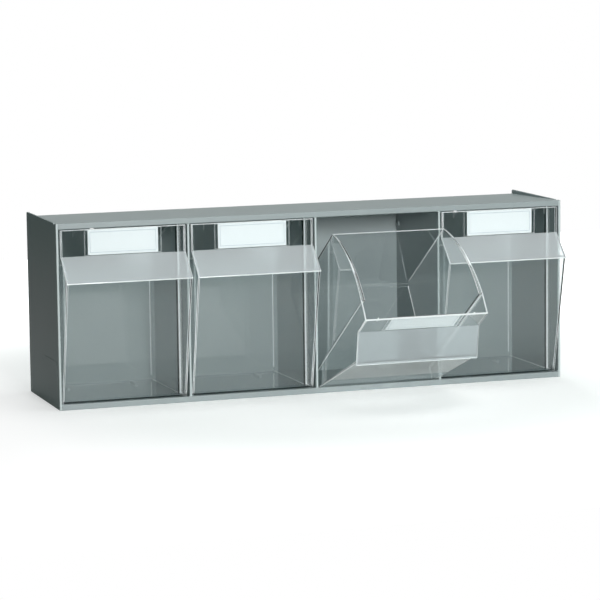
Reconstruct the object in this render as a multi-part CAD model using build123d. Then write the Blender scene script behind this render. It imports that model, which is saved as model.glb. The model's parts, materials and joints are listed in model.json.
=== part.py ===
from build123d import *
from math import acos, atan2, cos, degrees, hypot, radians, sin, tan
import os

# Parts drawer cabinet: a grey moulded housing with a row of clear bins that tip forward.
# Millimetres and degrees. Every section is drawn from the side: its first number is the depth
# behind the housing's front plane, its second the height above the base.

# Housing
bin_count = 4
housing_width = 600.0
housing_depth = 140.0
housing_height = 207.0
shell_wall = 2.5
lip_wall = 2.5
rail_height = 6.5
top_fall = 4.7
end_wall = 2.6
partition_wall = 2.4
front_round = 0.8
back_round = 2.0
mouth_round = 1.6

# End panel details
notch_from = 5.0
notch_to = 11.0
notch_depth = 1.2
notch_slope = 1.5
pad_front = 9.0
pad_back = 62.0
pad_low = 34.0
pad_high = 53.0
pad_rise = 0.4

# Wall screws, hidden behind the top of the first and the last bin
screw_radius = 2.6
screw_from_top = 22.0

# Boss on each partition's left face
boss_from_back = 7.5
boss_from_top = 33.0
boss_radius = 3.5
boss_bore = 1.7
boss_length = 1.5

# Ribs on the floor, on which a closed bin rests
rest_width = 3.0
rest_spread = 80.0
rest_length = 24.0
rest_from_heel = 5.5
rest_clearance = 0.3

# Bin
bin_wall = 1.6
side_gap = 2.05
top_gap = 1.0
back_gap = 4.0
floor_gap = 3.5
label_panel = 29.5
handle_reach = 28.0
handle_drop = 26.7
foot_depth = 6.5
front_lean = 12.9
foot_round = 3.5
heel_round = 6.0
jog_depth = 25.0
jog_step = 3.4
side_draft = 0.9
rim_wall = 2.0
rim_drop = 55.0
rim_radius = 169.5
open_top = 60.0

# Pivot pins, and the stop that the open bin leans on
pivot_depth = 12.0
pivot_height = 10.0
pin_radius = 2.5
pin_clearance = 0.05
pin_grip = 1.0
socket_end_gap = 0.4
stop_clearance = 0.3

# Small ribs at the top of the bin's front
catch_spread = 112.0
catch_width = 1.2
catch_length = 7.5
catch_depth = 1.4

# Label holder and card
card_width = 80.0
card_height = 27.6
card_wall = 0.4
card_side_gap = 3.0
card_lift = 1.4
slot_depth = 0.8
holder_wall = 0.8
holder_rim = 1.0
holder_top_gap = 1.2

# Worked out from the dimensions above
front_y = -housing_depth / 2
end_face = housing_width / 2 - pad_rise
mouth_half = end_face - end_wall
walls_across = 2 * (pad_rise + end_wall) + (bin_count - 1) * partition_wall
bay_width = (housing_width - walls_across) / bin_count
bay_pitch = bay_width + partition_wall
back_inside = housing_depth - shell_wall
rail_underside = housing_height - rail_height
fall_slope = top_fall / housing_depth
half_front = bay_width / 2 - side_gap
half_jog = half_front - jog_step
half_back = half_jog - side_draft
bin_back = back_inside - back_gap
bin_floor = shell_wall + floor_gap
panel_top = rail_underside - top_gap
panel_foot = panel_top - label_panel
rim_back = panel_top - rim_drop
rest_back = bin_back - rest_from_heel
rest_front = rest_back - rest_length
screw_height = housing_height - screw_from_top
boss_depth = back_inside - boss_from_back
boss_height = housing_height - boss_from_top
pin_length = side_gap + pin_grip
socket_radius = pin_radius + pin_clearance
inner_root = panel_foot + bin_wall * (handle_reach / hypot(handle_reach, handle_drop) - 1)
card_foot = inner_root + card_lift


def ceiling(depth):
    """Height of the top plate's underside at this depth."""
    return housing_height - shell_wall - fall_slope * depth


def bay_centre(index):
    """Row X of the middle of a bay, counted from the left."""
    return bay_width / 2 - mouth_half + index * bay_pitch


def opening_angle():
    """Angle at which the front wall meets the bottom rail's inner edge, less the clearance."""
    foot_x = foot_depth - pivot_depth
    foot_z = bin_floor - pivot_height
    lean = radians(front_lean)
    wall_distance = -foot_x * cos(lean) - foot_z * sin(lean)
    edge_x = pivot_depth - lip_wall
    edge_z = pivot_height - rail_height
    reach = (wall_distance + stop_clearance) / hypot(edge_x, edge_z)
    return degrees(atan2(edge_z, edge_x) + acos(reach) - lean)


def handle_root():
    """Point where the front wall's outer face meets the handle's upper face."""
    front_slope = tan(radians(front_lean))
    handle_slope = handle_reach / handle_drop
    height = (foot_depth + front_slope * bin_floor + handle_slope * panel_foot) / (front_slope + handle_slope)
    return foot_depth - front_slope * (height - bin_floor), height


def polygon(*points):
    return make_face(Polyline(*points, close=True))


def corner(face, depth, height):
    """The vertex of a section that is nearest to a point."""
    return face.vertices().sort_by_distance(Vector(depth, height, 0))[0]


def slab(section, x_from, x_to):
    """A side section carried across the cabinet between two X values."""
    plane = Plane(origin=(x_from, front_y, 0), x_dir=(0, 1, 0), z_dir=(1, 0, 0))
    return extrude(plane * section, x_to - x_from)


def column(plan, low, high):
    """A plan drawn as X and depth, carried up between two heights."""
    return extrude(Plane(origin=(0, front_y, low)) * plan, high - low)


def rod(radius, x_from, x_to, depth, height):
    """A round bar along X."""
    plane = Plane(origin=(x_from, front_y + depth, height), x_dir=(0, 1, 0), z_dir=(1, 0, 0))
    return extrude(plane * Circle(radius), x_to - x_from)


def block(x_from, x_to, depth_from, depth_to, low, high):
    return slab(polygon((depth_from, low), (depth_to, low), (depth_to, high), (depth_from, high)), x_from, x_to)


def swing(piece, angle):
    """Turn a bin's piece about the pivot axis; positive tips it forward."""
    return piece.rotate(Axis((0, front_y + pivot_depth, pivot_height), (1, 0, 0)), angle)


def rounded_front(wall):
    """A wall's front edges rounded, so that its thin front end is a soft nose."""
    return fillet(wall.edges().filter_by(Axis.Z).group_by(Axis.Y)[0], front_round)


def mouth_corner(wall_x, side, rail_z, upward):
    """Rounding in the corner between a rail and the wall at the given side of a bay."""
    inner_x = wall_x - side * mouth_round
    inner_z = rail_z + upward * mouth_round
    square = block(
        min(wall_x, inner_x), max(wall_x, inner_x), front_round, lip_wall, min(rail_z, inner_z), max(rail_z, inner_z)
    )
    round_plane = Plane(origin=(inner_x, front_y, inner_z), x_dir=(1, 0, 0), z_dir=(0, 1, 0))
    return square - extrude(round_plane * Circle(mouth_round), lip_wall)


def housing_shell():
    """Top plate, back and floor in one moulding, with a lip along both front rails."""
    top_back = housing_height - top_fall
    outside = polygon((0, 0), (housing_depth, 0), (housing_depth, top_back), (0, housing_height))
    outside = fillet([corner(outside, 0, 0), corner(outside, 0, housing_height)], front_round)
    outside = fillet([corner(outside, housing_depth, 0), corner(outside, housing_depth, top_back)], back_round)
    inside = polygon(
        (lip_wall, shell_wall),
        (back_inside, shell_wall),
        (back_inside, ceiling(back_inside)),
        (lip_wall, ceiling(lip_wall)),
    )
    mouth = polygon(
        (-lip_wall, rail_height),
        (2 * lip_wall, rail_height),
        (2 * lip_wall, rail_underside),
        (-lip_wall, rail_underside),
    )
    section = outside - inside - mouth
    mouth_edges = [corner(section, 0, rail_height), corner(section, 0, rail_underside)]
    shell = slab(fillet(mouth_edges, front_round), -mouth_half, mouth_half)
    for index in range(bin_count):
        for side in (-1, 1):
            shell += mouth_corner(bay_centre(index) + side * bay_width / 2, side, rail_height, 1)
            shell += mouth_corner(bay_centre(index) + side * bay_width / 2, side, rail_underside, -1)
            middle = bay_centre(index) + side * rest_spread / 2
            rib_top = bin_floor - rest_clearance
            shell += block(
                middle - rest_width / 2, middle + rest_width / 2, rest_front, rest_back, shell_wall, rib_top
            )
    for index in (0, bin_count - 1):
        hole = Plane(origin=(bay_centre(index), -front_y + 1, screw_height), x_dir=(1, 0, 0), z_dir=(0, -1, 0))
        shell -= extrude(hole * Circle(screw_radius), shell_wall + 2)
    return shell


def end_panel(side):
    """End wall with a notched top rib, a low raised pad outside and a blind pivot socket inside."""
    outline = polygon(
        (0, 0),
        (housing_depth, 0),
        (housing_depth, housing_height),
        (notch_to + notch_slope, housing_height),
        (notch_to, housing_height - notch_depth),
        (notch_from + notch_slope, housing_height - notch_depth),
        (notch_from, housing_height),
        (0, housing_height),
    )
    outline = fillet([corner(outline, 0, 0), corner(outline, 0, housing_height)], front_round)
    back_corners = [corner(outline, housing_depth, 0), corner(outline, housing_depth, housing_height)]
    outline = fillet(back_corners, back_round)
    outside = side * end_face
    inside = side * mouth_half
    pad_face = side * housing_width / 2
    panel = rounded_front(slab(outline, min(outside, inside), max(outside, inside)))
    panel += block(min(inside, pad_face), max(inside, pad_face), pad_front, pad_back, pad_low, pad_high)
    socket_floor = inside + side * (pin_grip + socket_end_gap)
    socket_over = inside - side
    panel -= rod(
        socket_radius, min(socket_floor, socket_over), max(socket_floor, socket_over), pivot_depth, pivot_height
    )
    return panel


def partition(index):
    """Wall between two bays, with the socket that both bins share and a small boss."""
    middle = (bay_centre(index) + bay_centre(index + 1)) / 2
    left_face = middle - partition_wall / 2
    right_face = middle + partition_wall / 2
    outline = polygon(
        (0, rail_height),
        (lip_wall, rail_height),
        (lip_wall, shell_wall),
        (back_inside, shell_wall),
        (back_inside, ceiling(back_inside)),
        (lip_wall, ceiling(lip_wall)),
        (lip_wall, rail_underside),
        (0, rail_underside),
    )
    wall = rounded_front(slab(outline, left_face, right_face))
    wall -= rod(socket_radius, left_face - 1, right_face + 1, pivot_depth, pivot_height)
    wall += rod(boss_radius, left_face - boss_length, left_face, boss_depth, boss_height)
    wall -= rod(boss_bore, left_face - boss_length, left_face + partition_wall / 2, boss_depth, boss_height)
    return wall


def bin_plan(centre):
    """Outside of the bin from above: full width at the front, stepped in behind, then drafted."""
    front = -handle_reach - 2 * bin_wall
    behind = bin_back + 2 * bin_wall
    half_behind = half_jog - side_draft * (behind - jog_depth) / (bin_back - jog_depth)
    half = [(half_front, front), (half_front, jog_depth), (half_jog, jog_depth), (half_behind, behind)]
    right = [(centre + across, depth) for across, depth in half]
    left = [(centre - across, depth) for across, depth in reversed(half)]
    return polygon(*right, *left)


def rim_plan(centre, side):
    """Flange outside one side wall: flush with the front part, it runs out at the back."""
    within = bin_wall / 2
    return polygon(
        (centre + side * (half_jog - within), jog_depth - within),
        (centre + side * half_front, jog_depth - within),
        (centre + side * half_front, jog_depth),
        (centre + side * half_back, bin_back),
        (centre + side * (half_back - within), bin_back),
    )


def above_rim():
    """Everything above the curved top edge of a bin's side wall."""
    high = panel_top + open_top
    edge = RadiusArc((bin_wall, panel_top), (bin_back, rim_back), rim_radius)
    behind = bin_back + handle_reach
    rest = Polyline(
        (bin_back, rim_back),
        (behind, rim_back),
        (behind, high),
        (-handle_reach, high),
        (-handle_reach, panel_top),
        (bin_wall, panel_top),
    )
    return make_face(edge + rest)


def clear_bin(centre):
    """One clear bin: stepped tub, handle lip, rim flanges, catch ribs and two pivot pins."""
    high = panel_top + open_top
    root = handle_root()
    tall = polygon(
        (0, high), (0, panel_foot), root, (foot_depth, bin_floor), (bin_back, bin_floor), (bin_back, high)
    )
    tall = fillet(corner(tall, foot_depth, bin_floor), foot_round)
    tall = fillet(corner(tall, bin_back, bin_floor), heel_round)
    hollow = offset(tall, amount=-bin_wall)
    length = hypot(handle_reach, handle_drop)
    inward = (bin_wall * handle_drop / length, -bin_wall * handle_reach / length)
    tip = (-handle_reach, panel_foot - handle_drop)
    lip = polygon(root, tip, (tip[0] + inward[0], tip[1] + inward[1]), (root[0] + inward[0], root[1] + inward[1]))
    lid = above_rim()
    left = centre - half_front - 1
    right = centre + half_front + 1
    plan = bin_plan(centre)
    tub = slab(tall - lid + lip, left, right) & column(plan, 0, high)
    tub -= slab(hollow, left, right) & column(offset(plan, amount=-bin_wall), 0, high)
    rim_section = lid.moved(Location((0, -rim_wall, 0))) & tall - lid
    for side in (-1, 1):
        tub += slab(rim_section, left, right) & column(rim_plan(centre, side), 0, high)
        inner = centre + side * (half_front - bin_wall / 2)
        outer = centre + side * (half_front + pin_length)
        tub += rod(pin_radius, min(inner, outer), max(inner, outer), pivot_depth, pivot_height)
        rib = centre + side * catch_spread / 2
        tub += block(
            rib - catch_width / 2,
            rib + catch_width / 2,
            bin_wall / 2,
            bin_wall + catch_depth,
            panel_top - catch_length,
            panel_top,
        )
    return tub


def label_holder(centre):
    """Clear pocket on the inner face of the label panel, open at the top."""
    half = card_width / 2 + card_side_gap
    outer = half + holder_rim
    face = bin_wall + slot_depth
    low = card_foot - holder_rim
    high = panel_top - holder_top_gap
    holder = block(centre - outer, centre + outer, face, face + holder_wall, low, high)
    holder += block(centre - outer, centre + outer, bin_wall, face, low, card_foot)
    for side in (-1, 1):
        inner_x = centre + side * half
        outer_x = centre + side * outer
        holder += block(min(inner_x, outer_x), max(inner_x, outer_x), bin_wall, face, card_foot, high)
    return holder


def label_card(centre):
    """Plain card that stands in the holder."""
    front = bin_wall + (slot_depth - card_wall) / 2
    return block(
        centre - card_width / 2,
        centre + card_width / 2,
        front,
        front + card_wall,
        card_foot,
        card_foot + card_height,
    )


open_bin = 2
pieces = {
    "housing_shell": housing_shell(),
    "end_panel_left": end_panel(-1),
    "end_panel_right": end_panel(1),
}
for index in range(bin_count - 1):
    pieces[f"partition_{index + 1}"] = partition(index)
for index in range(bin_count):
    centre = bay_centre(index)
    angle = opening_angle() if index == open_bin else 0
    pieces[f"bin_{index + 1}"] = swing(clear_bin(centre), angle)
    pieces[f"label_holder_{index + 1}"] = swing(label_holder(centre), angle)
    pieces[f"label_card_{index + 1}"] = swing(label_card(centre), angle)

os.makedirs("parts", exist_ok=True)
for name, piece in pieces.items():
    export_step(piece, f"parts/{name}.step")
print(f"opening angle {opening_angle():.3f} degrees, bay width {bay_width:.3f} mm")
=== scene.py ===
import json
import math

import bmesh
import bpy
import numpy as np
from mathutils import Matrix, Vector


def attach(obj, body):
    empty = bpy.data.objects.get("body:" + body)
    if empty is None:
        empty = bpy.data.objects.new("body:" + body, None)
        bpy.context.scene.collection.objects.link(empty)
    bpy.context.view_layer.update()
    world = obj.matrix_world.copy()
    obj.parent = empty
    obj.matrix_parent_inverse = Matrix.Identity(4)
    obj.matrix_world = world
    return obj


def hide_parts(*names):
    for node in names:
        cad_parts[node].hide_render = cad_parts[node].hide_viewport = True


# Parts drawer cabinet: a grey moulded housing with clear bins that tip forward.
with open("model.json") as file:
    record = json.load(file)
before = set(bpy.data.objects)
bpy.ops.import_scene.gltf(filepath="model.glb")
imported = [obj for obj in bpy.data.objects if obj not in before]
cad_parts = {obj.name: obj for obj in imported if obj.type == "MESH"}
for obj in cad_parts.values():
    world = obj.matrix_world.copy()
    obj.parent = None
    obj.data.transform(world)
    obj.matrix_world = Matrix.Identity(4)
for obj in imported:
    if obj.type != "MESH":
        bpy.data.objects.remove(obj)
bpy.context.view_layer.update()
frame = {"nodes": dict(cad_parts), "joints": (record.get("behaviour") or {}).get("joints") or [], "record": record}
print("frame loaded:", len(frame["nodes"]), "nodes")

mm = 0.001


def srgb(hexCode):
    # an sRGB hex colour as linear red, green, blue and alpha
    parts = [int(hexCode[i : i + 2], 16) / 255 for i in (1, 3, 5)]
    return [c / 12.92 if c <= 0.04045 else ((c + 0.055) / 1.055) ** 2.4 for c in parts] + [1.0]


def addNode(tree, kind, settings=None, links=None):
    # adds a node, sets its properties and sockets, and links its inputs from other sockets
    node = tree.nodes.new(kind)
    for name, value in (settings or {}).items():
        if isinstance(name, str) and hasattr(node, name):
            setattr(node, name, value)
        else:
            node.inputs[name].default_value = value
    for name, source in (links or {}).items():
        tree.links.new(source, node.inputs[name])
    return node


def newMaterial(name):
    material = bpy.data.materials.new(name)
    material.use_nodes = True
    material.node_tree.nodes.clear()
    return material, material.node_tree


# The grain of an eroded mould: how far it turns the roughness down and up, and how strongly it catches light
mouldGrain = {"detail": 3.0, "smoother": 0.06, "rougher": 0.08, "bump": 0.35, "driftDetail": 2.0}


def opaquePlastic(name, look):
    # moulded plastic with a slow drift of tone and a fine grain
    material, tree = newMaterial(name)
    place = addNode(tree, "ShaderNodeTexCoord").outputs["Object"]
    drift = addNode(
        tree,
        "ShaderNodeTexNoise",
        {"Scale": 1 / look["driftSize"], "Detail": mouldGrain["driftDetail"]},
        {"Vector": place},
    )
    colour = addNode(
        tree,
        "ShaderNodeMix",
        {"data_type": "RGBA", 6: srgb(look["base"]), 7: srgb(look["pale"])},
        {0: drift.outputs["Fac"]},
    )
    grain = addNode(
        tree,
        "ShaderNodeTexNoise",
        {"Scale": 1 / look["grainSize"], "Detail": mouldGrain["detail"]},
        {"Vector": place},
    )
    rough = addNode(
        tree,
        "ShaderNodeMapRange",
        {
            "To Min": look["roughness"] - mouldGrain["smoother"],
            "To Max": look["roughness"] + mouldGrain["rougher"],
        },
        {"Value": grain.outputs["Fac"]},
    )
    bump = addNode(
        tree,
        "ShaderNodeBump",
        {"Strength": mouldGrain["bump"], "Distance": look["grainHeight"]},
        {"Height": grain.outputs["Fac"]},
    )
    surface = addNode(
        tree,
        "ShaderNodeBsdfPrincipled",
        {"IOR": look["ior"]},
        {"Base Color": colour.outputs[2], "Roughness": rough.outputs[0], "Normal": bump.outputs[0]},
    )
    addNode(tree, "ShaderNodeOutputMaterial", links={"Surface": surface.outputs[0]})
    return material


# Flow waves in a clear moulding: how far they turn the roughness up, and how strongly they bend light
flowWaves = {"detail": 1.0, "rougher": 0.04, "bump": 0.3}


def clearPlastic(name, look):
    # moulded clear plastic: one part of the light goes straight through, the rest is scattered milky white,
    # and a share of that comes out on the far side
    material, tree = newMaterial(name)
    place = addNode(tree, "ShaderNodeTexCoord").outputs["Object"]
    flow = addNode(
        tree,
        "ShaderNodeTexNoise",
        {"Scale": 1 / look["flowSize"], "Detail": flowWaves["detail"]},
        {"Vector": place},
    )
    bump = addNode(
        tree,
        "ShaderNodeBump",
        {"Strength": flowWaves["bump"], "Distance": look["flowHeight"]},
        {"Height": flow.outputs["Fac"]},
    )
    rough = addNode(
        tree,
        "ShaderNodeMapRange",
        {"To Min": look["roughness"], "To Max": look["roughness"] + flowWaves["rougher"]},
        {"Value": flow.outputs["Fac"]},
    )
    glass = addNode(
        tree,
        "ShaderNodeBsdfPrincipled",
        {
            "Base Color": srgb(look["tint"]),
            "IOR": look["ior"],
            "Specular IOR Level": look["gloss"],
            "Transmission Weight": look["clearShare"],
        },
        {"Roughness": rough.outputs[0], "Normal": bump.outputs[0]},
    )
    surface = glass.outputs[0]
    if look["farSide"] > 0:
        through = addNode(tree, "ShaderNodeBsdfTranslucent", {"Color": srgb(look["tint"])})
        surface = addNode(
            tree, "ShaderNodeMixShader", {0: look["farSide"]}, {1: surface, 2: through.outputs[0]}
        ).outputs[0]
    # lamp light passes through the clear walls, so that what lies inside is lit
    path = addNode(tree, "ShaderNodeLightPath")
    film = addNode(tree, "ShaderNodeBsdfTransparent", {"Color": srgb(look["shadowTint"])})
    lit = addNode(
        tree, "ShaderNodeMixShader", links={0: path.outputs["Is Shadow Ray"], 1: surface, 2: film.outputs[0]}
    )
    addNode(tree, "ShaderNodeOutputMaterial", links={"Surface": lit.outputs[0]})
    return material


# High impact polystyrene of the housing: an even satin grey, greener than blue
grey = opaquePlastic(
    "grey polystyrene",
    {
        "base": "#909a9b",
        "pale": "#97a1a2",
        "roughness": 0.42,
        "ior": 1.58,
        "driftSize": 70 * mm,
        "grainSize": 0.9 * mm,  # drawn coarser than the real grain, which would not show
        "grainHeight": 0.03 * mm,
    },
)
# The same plastic on its rounded edges, painted paler and a little glossier: a painted highlight where the edges
# catch the light
greyEdgeHighlight = opaquePlastic(
    "grey polystyrene painted edge highlight",
    {
        "base": "#bac5c5",
        "pale": "#c4cdcd",
        "roughness": 0.3,
        "ior": 1.58,
        "driftSize": 30 * mm,
        "grainSize": 0.6 * mm,
        "grainHeight": 0.02 * mm,
    },
)
# Crystal polystyrene of the bins: glass clear with slight flow waves
clear = clearPlastic(
    "clear polystyrene",
    {
        "tint": "#fafcfc",
        "shadowTint": "#f5f6f6",
        "clearShare": 1.0,
        "farSide": 0.0,
        "roughness": 0.015,
        "ior": 1.59,
        "gloss": 0.5,
        "flowSize": 60 * mm,
        "flowHeight": 0.02 * mm,
    },
)
# Its rounded edges and narrow end faces, near white and mostly matt: a painted highlight standing for light led
# inside the walls that comes out there
clearEdgeHighlight = clearPlastic(
    "clear polystyrene painted edge highlight",
    {
        "tint": "#fafeff",
        "shadowTint": "#e6eaea",
        "clearShare": 0.1,
        "farSide": 0.2,
        "roughness": 0.2,
        "ior": 1.59,
        "gloss": 0.5,
        "flowSize": 12 * mm,
        "flowHeight": 0.02 * mm,
    },
)
# Its grip face, finely blasted: a thin milky veil with little gloss of its own
frosted = clearPlastic(
    "frosted polystyrene",
    {
        "tint": "#e9f1f4",
        "shadowTint": "#d4dada",
        "clearShare": 0.7,
        "farSide": 0.08,
        "roughness": 0.1,
        "ior": 1.59,
        "gloss": 0.15,
        "flowSize": 1.0 * mm,
        "flowHeight": 0.03 * mm,
    },
)
print("plastics made")


# Edge rounding, for edges longer than longEnough. The faces beside an outer edge must be wider than
# tooNarrow, those beside an inner edge wider than innerRoom. A face narrower than wide takes the edge finish, a
# painted highlight.
edgeSettings = {
    "housing": {
        "round": 0.5 * mm,
        "steps": 2,
        "longEnough": 6 * mm,
        "tooNarrow": 1.1 * mm,
        "wide": 1.1 * mm,
        "innerRoom": math.inf,
    },
    "bin": {
        "round": 0.7 * mm,
        "steps": 2,
        "longEnough": 2.5 * mm,
        "tooNarrow": 1.3 * mm,
        "wide": 2.4 * mm,
        "innerRoom": 5 * mm,
    },
    "holder": {
        "round": 0.3 * mm,
        "steps": 1,
        "longEnough": 2.5 * mm,
        "tooNarrow": 0.7 * mm,
        "wide": 0.7 * mm,
        "innerRoom": math.inf,
    },
    "weld": 0.002 * mm,
    "flat": math.radians(0.6),
    "crease": math.radians(30),
    "innerCrease": math.radians(60),
    "longSide": 3,  # a strip's long sides are this many times its width
}
bodyOf = {node: body for body, nodes in frame["record"]["behaviour"]["bodies"].items() for node in nodes}


def faceWidth(face):
    # the height over the longest side of a strip or a triangle
    height = face.calc_area() / max(edge.calc_length() for edge in face.edges)
    return 2 * height if len(face.edges) == 3 else height


def markEdges(mesh, edges):
    # weights the long sharp edges with enough room beside them for rounding, and gives a narrow end face the edge
    # finish, a painted highlight
    shape = bmesh.new()
    shape.from_mesh(mesh)
    bmesh.ops.remove_doubles(shape, verts=shape.verts, dist=edgeSettings["weld"])
    bmesh.ops.dissolve_limit(
        shape,
        angle_limit=edgeSettings["flat"],
        verts=shape.verts,
        edges=shape.edges,
        use_dissolve_boundaries=False,
    )
    weight = shape.edges.layers.float.new("bevel_weight_edge")
    for edge in shape.edges:
        fold = edge.calc_face_angle_signed(0)
        edge.smooth = abs(fold) < edgeSettings["crease"]
        room = min(faceWidth(face) for face in edge.link_faces)
        outer = fold > edgeSettings["crease"] and room > edges["tooNarrow"]
        inner = -fold > edgeSettings["innerCrease"] and room > edges["innerRoom"]
        edge[weight] = float((outer or inner) and edge.calc_length() > edges["longEnough"])
    for face in shape.faces:
        width = faceWidth(face)
        longSides = [edge for edge in face.edges if edge.calc_length() > edgeSettings["longSide"] * width]
        narrow = edges["tooNarrow"] < width < edges["wide"]
        face.material_index = int(narrow and any(not edge.smooth for edge in longSides))
        face.smooth = True
    shape.to_mesh(mesh)
    shape.free()


def roundedCopy(nodeName, pieceName, edges, finishes):
    # a CAD node's own shape, its triangles merged back to faces, with the small edge rounding of a moulding
    mesh = frame["nodes"][nodeName].data.copy()
    mesh.name = pieceName
    mesh.materials.clear()
    for finish in finishes:
        mesh.materials.append(finish)
    markEdges(mesh, edges)
    piece = bpy.data.objects.new(pieceName, mesh)
    bpy.context.scene.collection.objects.link(piece)
    bevel = piece.modifiers.new("edge rounding", "BEVEL")
    bevel.width = edges["round"]
    bevel.segments = edges["steps"]
    bevel.limit_method = "WEIGHT"
    bevel.use_clamp_overlap = False
    # the rounded faces take the second finish: the paler edge material, a painted highlight
    bevel.material = 1  # the second finish
    level = piece.modifiers.new("flat faces stay flat", "WEIGHTED_NORMAL")
    level.keep_sharp = True
    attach(piece, bodyOf[nodeName])
    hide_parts(nodeName)
    return piece


def faceTable(mesh):
    # normals and centres of a mesh's faces, one row each
    normals = np.zeros(len(mesh.polygons) * 3)
    centres = np.zeros(len(mesh.polygons) * 3)
    mesh.polygons.foreach_get("normal", normals)
    mesh.polygons.foreach_get("center", centres)
    return normals.reshape(-1, 3), centres.reshape(-1, 3)


# The front end of an end panel or partition, given the paler edge finish as a painted highlight: its faces lie
# within depth of the housing's front and are no steeper than level
nose = {"front": -70 * mm, "depth": 0.75 * mm, "level": 0.3}
for nodeName in bodyOf:
    if bodyOf[nodeName] == "housing":
        piece = roundedCopy(nodeName, "moulded_" + nodeName, edgeSettings["housing"], [grey, greyEdgeHighlight])
        if nodeName != "housing_shell":
            normals, centres = faceTable(piece.data)
            paintedNoseHighlight = (centres[:, 1] < nose["front"] + nose["depth"]) & (abs(normals[:, 2]) < nose["level"])
            piece.data.polygons.foreach_set("material_index", paintedNoseHighlight.astype(np.int32))
print("housing finished")

openBin = 3  # this bin stands open at rest
# The grip face of a closed bin falls by rise over reach. A face belongs to it whose normal agrees to likeness.
handle = {"rise": 26.7, "reach": 28.0, "likeness": 0.9995}
tipAngle = next(joint for joint in frame["joints"] if joint["child"] == f"tip_bin_{openBin}")["range_deg"][0]


def turned(vector, number):
    # a direction in a closed bin, turned with the bin where it stands open
    direction = Vector(vector).normalized()
    if number == openBin:
        direction = Matrix.Rotation(-math.radians(tipAngle), 3, "X") @ direction
    return np.array(direction)


cardLook = {
    "sheet": 0.3 * mm,
    "bow": 0.06 * mm,  # how far its middle stands forward in the pocket
    "across": 24,
    "up": 6,
    "base": "#f7fbfd",
    "pale": "#fafdfe",
    "print": "#c8d2da",
    "frameIn": 2.6 * mm,  # the printed frame's distance from the card's edge
    "frameLine": 0.5 * mm,
    "fibre": 0.6 * mm,
    "fibreDetail": 3.0,
    "fibreHeight": 0.02 * mm,
    "fibreBump": 0.4,
    "roughness": 0.65,
    "ior": 1.45,
}


def whiteCard(half):
    # Uncoated card, printed with a hairline frame: it gives a flat white with a faint grey line inside its
    # edge. The UV map holds the distance from the middle of the card in metres, half its width and height.
    material, tree = newMaterial("white label card")
    place = addNode(tree, "ShaderNodeTexCoord")
    fibre = addNode(
        tree,
        "ShaderNodeTexNoise",
        {"Scale": 1 / cardLook["fibre"], "Detail": cardLook["fibreDetail"]},
        {"Vector": place.outputs["Object"]},
    ).outputs["Fac"]
    paper = addNode(
        tree,
        "ShaderNodeMix",
        {"data_type": "RGBA", 6: srgb(cardLook["base"]), 7: srgb(cardLook["pale"])},
        {0: fibre},
    )
    split = addNode(tree, "ShaderNodeSeparateXYZ", links={0: place.outputs["UV"]})
    beyond = []
    for axis in (0, 1):
        distance = addNode(tree, "ShaderNodeMath", {"operation": "ABSOLUTE"}, {0: split.outputs[axis]})
        inset = {"operation": "SUBTRACT", 1: half[axis] - cardLook["frameIn"]}
        beyond.append(addNode(tree, "ShaderNodeMath", inset, {0: distance.outputs[0]}).outputs[0])
    outside = addNode(tree, "ShaderNodeMath", {"operation": "MAXIMUM"}, {0: beyond[0], 1: beyond[1]})
    line = addNode(
        tree,
        "ShaderNodeMath",
        {"operation": "COMPARE", 1: 0.0, 2: cardLook["frameLine"] / 2},
        {0: outside.outputs[0]},
    )
    colour = addNode(
        tree,
        "ShaderNodeMix",
        {"data_type": "RGBA", 7: srgb(cardLook["print"])},
        {0: line.outputs[0], 6: paper.outputs[2]},
    )
    bump = addNode(
        tree,
        "ShaderNodeBump",
        {"Strength": cardLook["fibreBump"], "Distance": cardLook["fibreHeight"]},
        {"Height": fibre},
    )
    surface = addNode(
        tree,
        "ShaderNodeBsdfPrincipled",
        {"Roughness": cardLook["roughness"], "IOR": cardLook["ior"]},
        {"Base Color": colour.outputs[2], "Normal": bump.outputs[0]},
    )
    addNode(tree, "ShaderNodeOutputMaterial", links={"Surface": surface.outputs[0]})
    return material


def cardExtent(number):
    # the CAD card's lowest and highest distance along its own axes: across, up and forward
    axes = np.array([(1, 0, 0), turned((0, 0, 1), number), turned((0, -1, 0), number)])
    mesh = frame["nodes"][f"label_card_{number}"].data
    points = np.zeros(len(mesh.vertices) * 3)
    mesh.vertices.foreach_get("co", points)
    along = points.reshape(-1, 3) @ axes.T
    return axes, along.min(0), along.max(0)


def labelCard(number, finish):
    # P(s, t): s runs across and t up the card between its CAD corners, at a depth of middle + bow sin(pi s)
    axes, low, high = cardExtent(number)
    s, t = np.meshgrid(np.linspace(0, 1, cardLook["across"] + 1), np.linspace(0, 1, cardLook["up"] + 1))
    across = low[0] + s * (high[0] - low[0])
    up = low[1] + t * (high[1] - low[1])
    forward = (low[2] + high[2]) / 2 + cardLook["bow"] * (np.sin(math.pi * s) - 0.5)
    points = np.stack([across, up, forward], -1).reshape(-1, 3) @ axes
    row = cardLook["across"] + 1
    first = (np.arange(cardLook["up"])[:, None] * row + np.arange(cardLook["across"])[None, :]).ravel()
    faces = np.stack([first, first + 1, first + row + 1, first + row], 1)
    mesh = bpy.data.meshes.new(f"card_{number}")
    mesh.from_pydata(points.tolist(), [], faces.tolist())
    middle = np.array([(low[0] + high[0]) / 2, (low[1] + high[1]) / 2])
    flat = np.stack([across, up], -1).reshape(-1, 2) - middle
    mesh.uv_layers.new(name="card").data.foreach_set("uv", flat[faces.ravel()].ravel())
    mesh.materials.append(finish)
    piece = bpy.data.objects.new(f"card_{number}", mesh)
    bpy.context.scene.collection.objects.link(piece)
    sheet = piece.modifiers.new("card thickness", "SOLIDIFY")
    sheet.thickness = cardLook["sheet"]
    sheet.offset = 0
    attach(piece, bodyOf[f"label_card_{number}"])
    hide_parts(f"label_card_{number}")


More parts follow.
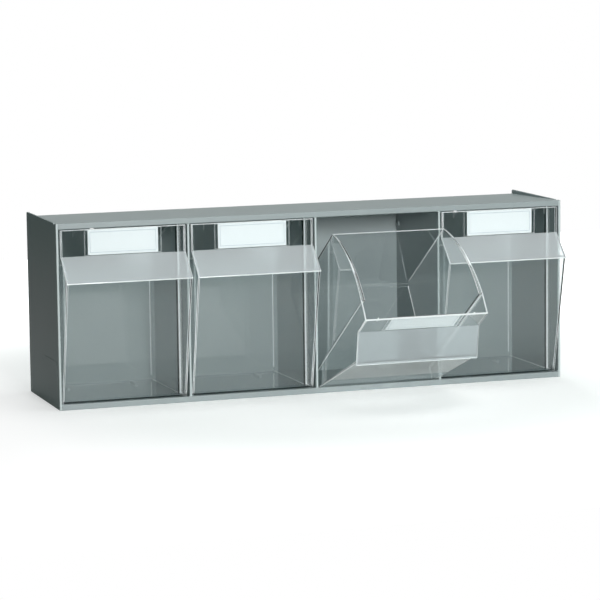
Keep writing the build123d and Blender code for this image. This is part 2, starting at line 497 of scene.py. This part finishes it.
cardAxes, cardLow, cardHigh = cardExtent(1)
labelWhite = whiteCard((cardHigh - cardLow) / 2)
gripFace = (0, -handle["rise"], handle["reach"])
for number in (1, 2, 3, 4):
    binFinishes = [clear, clearEdgeHighlight, frosted]
    piece = roundedCopy(f"bin_{number}", f"clear_bin_{number}", edgeSettings["bin"], binFinishes)
    normals, centres = faceTable(piece.data)
    onGrip = normals @ turned(gripFace, number) > handle["likeness"]
    finish = np.zeros(len(centres), np.int32)
    piece.data.polygons.foreach_get("material_index", finish)
    finish[onGrip] = binFinishes.index(frosted)
    piece.data.polygons.foreach_set("material_index", finish)
    piece = roundedCopy(
        f"label_holder_{number}", f"clear_label_holder_{number}", edgeSettings["holder"], [clear, clearEdgeHighlight]
    )
    labelCard(number, labelWhite)
print("bins finished")

# Camera, at the angle of the photograph: place in metres, turns in radians, lens and sensor in millimetres
view = {
    "place": (-1.028625, -3.085724, 0.542987),
    "yaw": 0.322873,
    "pitch": 0.135954,
    "roll": -0.012343,
    "lens": 171.027,
    "sensor": 36,
}
cameraData = bpy.data.cameras.new("camera")
cameraData.lens = view["lens"]
cameraData.sensor_width = view["sensor"]
camera = bpy.data.objects.new("camera", cameraData)
bpy.context.scene.collection.objects.link(camera)
turn = (
    Matrix.Rotation(-view["yaw"], 4, "Z")
    @ Matrix.Rotation(math.pi / 2 - view["pitch"], 4, "X")
    @ Matrix.Rotation(view["roll"], 4, "Z")
)
camera.matrix_world = Matrix.Translation(view["place"]) @ turn
bpy.context.scene.camera = camera

# Soft lamps, all turned to the middle of the cabinet
lampAim = Vector((0, 0, 0.1))
lamps = {
    "key": {"place": (-0.15, -2.8, 0.77), "size": 0.6, "power": 67.5, "gloss": True},
    "top": {"place": (0.6, -0.2, 2.2), "size": 1.5, "power": 21, "gloss": True},
    "behind": {"place": (0.3, 2.6, 0.9), "size": 1.0, "power": 34, "gloss": False},
}
for name, lamp in lamps.items():
    data = bpy.data.lights.new(name, "AREA")
    data.shape = "SQUARE"
    data.size = lamp["size"]
    data.energy = lamp["power"]
    light = bpy.data.objects.new(name, data)
    bpy.context.scene.collection.objects.link(light)
    light.visible_transmission = False  # the clear walls already let its light through as shadow rays
    light.visible_glossy = lamp["gloss"]
    light.location = lamp["place"]
    light.rotation_euler = (lampAim - light.location).to_track_quat("-Z", "Y").to_euler()


def seenRay(tree, glossShare):
    # How far a ray shows the background as it is, before a matt surface has scattered it: fully from the
    # camera or straight through clear plastic, and by the given share once a gloss has mirrored it.
    path = addNode(tree, "ShaderNodeLightPath").outputs
    straight = addNode(
        tree,
        "ShaderNodeMath",
        {"operation": "MAXIMUM"},
        {0: path["Is Camera Ray"], 1: path["Is Transmission Ray"]},
    )
    seen = addNode(
        tree, "ShaderNodeMath", {"operation": "MAXIMUM"}, {0: straight.outputs[0], 1: path["Is Glossy Ray"]}
    )
    mirrored = addNode(
        tree, "ShaderNodeMath", {"operation": "GREATER_THAN", 1: 0.5}, {0: path["Glossy Depth"]}
    )
    unscattered = addNode(
        tree, "ShaderNodeMath", {"operation": "LESS_THAN", 1: 0.5}, {0: path["Diffuse Depth"]}
    )
    share = addNode(
        tree, "ShaderNodeMix", {"data_type": "FLOAT", 2: 1.0}, {0: mirrored.outputs[0], 3: glossShare}
    )
    shared = addNode(
        tree, "ShaderNodeMath", {"operation": "MULTIPLY"}, {0: seen.outputs[0], 1: share.outputs[0]}
    )
    return addNode(
        tree, "ShaderNodeMath", {"operation": "MULTIPLY"}, {0: shared.outputs[0], 1: unscattered.outputs[0]}
    ).outputs[0]


# A pale table, darker at the left so that little light comes back to that side: seen straight, it turns
# white away from the cabinet, and keeps a soft shadow near it
floorLook = {
    "left": -1.3,
    "right": 1.3,
    "front": -0.75,
    "back": 1.3,
    "shade": "#2c2f2f",
    "colour": "#eef1f0",
    "shadeGlow": 0.9,
    "glow": 0.32,
    "shadeGloss": 0.45,
    "gloss": 0.05,
    "shadeTo": -0.47,
    "paleFrom": -0.17,
    "whiteFrom": 0.3,
    "whiteAt": 0.75,
}


def paleFloor():
    mesh = bpy.data.meshes.new("floor")
    left, right, front, back = (floorLook[side] for side in ("left", "right", "front", "back"))
    corners = [(left, front, 0), (right, front, 0), (right, back, 0), (left, back, 0)]
    mesh.from_pydata(corners, [], [(0, 1, 2, 3)])
    floor = bpy.data.objects.new("floor", mesh)
    bpy.context.scene.collection.objects.link(floor)
    material, tree = newMaterial("pale floor")
    place = addNode(tree, "ShaderNodeTexCoord").outputs["Object"]
    across = addNode(tree, "ShaderNodeSeparateXYZ", links={0: place}).outputs[0]
    toPale = addNode(
        tree,
        "ShaderNodeMapRange",
        {
            "interpolation_type": "SMOOTHSTEP",
            "From Min": floorLook["shadeTo"],
            "From Max": floorLook["paleFrom"],
        },
        {"Value": across},
    ).outputs[0]
    colour = addNode(
        tree,
        "ShaderNodeMix",
        {"data_type": "RGBA", 6: srgb(floorLook["shade"]), 7: srgb(floorLook["colour"])},
        {0: toPale},
    )
    matt = addNode(tree, "ShaderNodeBsdfDiffuse", links={"Color": colour.outputs[2]})
    nearGlow = addNode(
        tree,
        "ShaderNodeMix",
        {"data_type": "FLOAT", 2: floorLook["shadeGlow"], 3: floorLook["glow"]},
        {0: toPale},
    )
    away = addNode(tree, "ShaderNodeVectorMath", {"operation": "LENGTH"}, {0: place})
    strength = addNode(
        tree,
        "ShaderNodeMapRange",
        {
            "interpolation_type": "SMOOTHSTEP",
            "From Min": floorLook["whiteFrom"],
            "From Max": floorLook["whiteAt"],
            "To Max": 1.0,
        },
        {"Value": away.outputs["Value"], "To Min": nearGlow.outputs[0]},
    )
    mirrored = addNode(
        tree,
        "ShaderNodeMix",
        {"data_type": "FLOAT", 2: floorLook["shadeGloss"], 3: floorLook["gloss"]},
        {0: toPale},
    )
    seen = addNode(
        tree,
        "ShaderNodeMath",
        {"operation": "MULTIPLY"},
        {0: seenRay(tree, mirrored.outputs[0]), 1: strength.outputs[0]},
    )
    glow = addNode(tree, "ShaderNodeEmission", {"Color": srgb("#ffffff")}, {"Strength": seen.outputs[0]})
    both = addNode(tree, "ShaderNodeAddShader", links={0: matt.outputs[0], 1: glow.outputs[0]})
    addNode(tree, "ShaderNodeOutputMaterial", links={"Surface": both.outputs[0]})
    mesh.materials.append(material)


paleFloor()

# The air is white where it is seen straight, and dim and slightly cool as light in the room. A gloss mirrors
# the white only around one fixed direction behind the cabinet: fully within its heart, not at all past its rim
air = {
    "seen": 1.0,
    "ambient": 0.07,
    "tint": "#c4fff4",
    "white": "#ffffff",
    "middle": (0.314365, 0.939579, -0.135536),
    "rim": 0.84,
    "heart": 0.95,
}


def studioAir():
    world = bpy.data.worlds.new("studio")
    bpy.context.scene.world = world
    world.use_nodes = True
    tree = world.node_tree
    tree.nodes.clear()
    direction = addNode(tree, "ShaderNodeTexCoord").outputs["Generated"]
    along = addNode(
        tree, "ShaderNodeVectorMath", {"operation": "DOT_PRODUCT", 1: air["middle"]}, {0: direction}
    )
    behind = addNode(
        tree,
        "ShaderNodeMapRange",
        {"From Min": air["rim"], "From Max": air["heart"]},
        {"Value": along.outputs["Value"]},
    )
    seen = seenRay(tree, behind.outputs[0])
    strength = addNode(
        tree, "ShaderNodeMapRange", {"To Min": air["ambient"], "To Max": air["seen"]}, {"Value": seen}
    )
    tone = addNode(
        tree,
        "ShaderNodeMix",
        {"data_type": "RGBA", 6: srgb(air["tint"]), 7: srgb(air["white"])},
        {0: seen},
    )
    background = addNode(
        tree, "ShaderNodeBackground", links={"Color": tone.outputs[2], "Strength": strength.outputs[0]}
    )
    addNode(tree, "ShaderNodeOutputWorld", links={"Surface": background.outputs[0]})


studioAir()

bpy.context.scene.view_settings.view_transform = "Standard"
cycles = bpy.context.scene.cycles
cycles.transparent_max_bounces = 32  # lamp light crosses several clear walls
cycles.transmission_bounces = 20
cycles.max_bounces = 24
cycles.blur_glossy = 0.0  # the clear walls stay sharp for scattered light too
print("studio ready")
